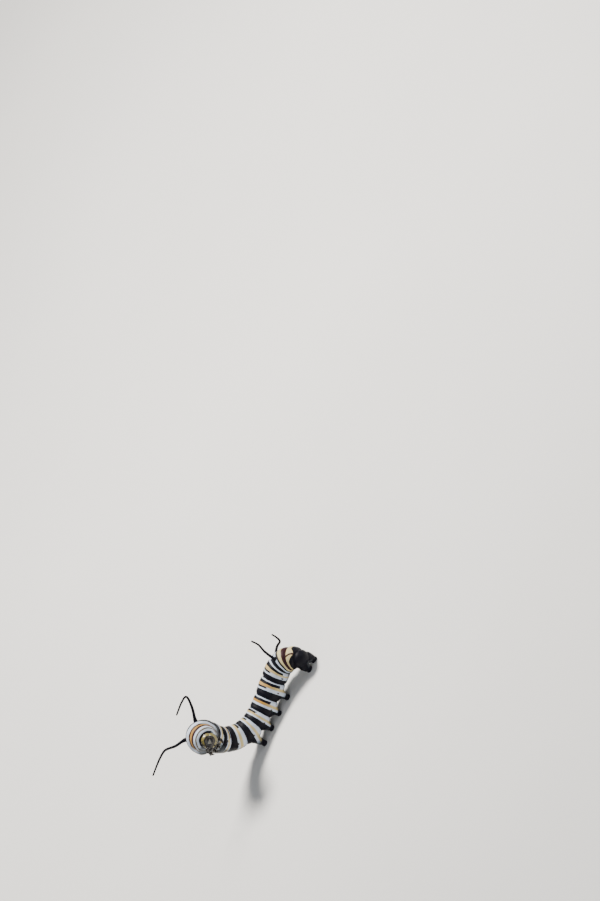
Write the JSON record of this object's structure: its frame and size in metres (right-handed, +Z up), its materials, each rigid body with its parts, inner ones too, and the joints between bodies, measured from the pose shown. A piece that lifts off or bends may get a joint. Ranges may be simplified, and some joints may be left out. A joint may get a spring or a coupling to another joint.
{
  "type": "monarch larva",
  "caption": "Life-size monarch larva, banded black, white and yellow, standing on its soft legs with its front third reared up and turned left.",
  "frame": {"origin": "on the floor under the middle of the animal's outline, level with the soles of its soft legs", "axes": "+Z up, -X the way the middle of the body points, towards the reared front, and -Y the animal's left, the side that the head and the tail turn to"},
  "size_m": [0.036, 0.011, 0.0218],
  "materials": {
    "skin": "soft moist skin, banded white, yellow and black across the body",
    "soft_leg": "soft black skin with a pale patch",
    "filament": "soft matt black",
    "head": "hard glossy shell with pale yellow arches",
    "horn": "hard glossy black horn",
    "bristle": "fine dark bristles"
  },
  "bodies": {
    "root": {"abdomen_10": "skin", "abdomen_9": "skin", "abdomen_8": "skin", "abdomen_7": "skin", "abdomen_6": "skin", "abdomen_5": "skin", "abdomen_4": "skin", "abdomen_3": "skin", "abdomen_2": "skin", "abdomen_1": "skin", "thorax_3": "skin", "thorax_2": "skin", "thorax_1": "skin", "proleg_3_left": "soft_leg", "proleg_3_right": "soft_leg", "proleg_4_left": "soft_leg", "proleg_4_right": "soft_leg", "proleg_5_left": "soft_leg", "proleg_5_right": "soft_leg", "proleg_6_left": "soft_leg", "proleg_6_right": "soft_leg", "clasper_left": "soft_leg", "clasper_right": "soft_leg", "leg_1_left": "horn", "leg_1_right": "horn", "leg_2_left": "horn", "leg_2_right": "horn", "leg_3_left": "horn", "leg_3_right": "horn", "filament_front_left": "filament", "filament_front_right": "filament", "filament_rear_left": "filament", "filament_rear_right": "filament", "head_capsule": "head", "labrum": "horn", "mandible_left": "horn", "mandible_right": "horn", "antenna_left": "horn", "antenna_right": "horn", "eye_left": "horn", "eye_right": "horn"}
  },
  "joints": []
}
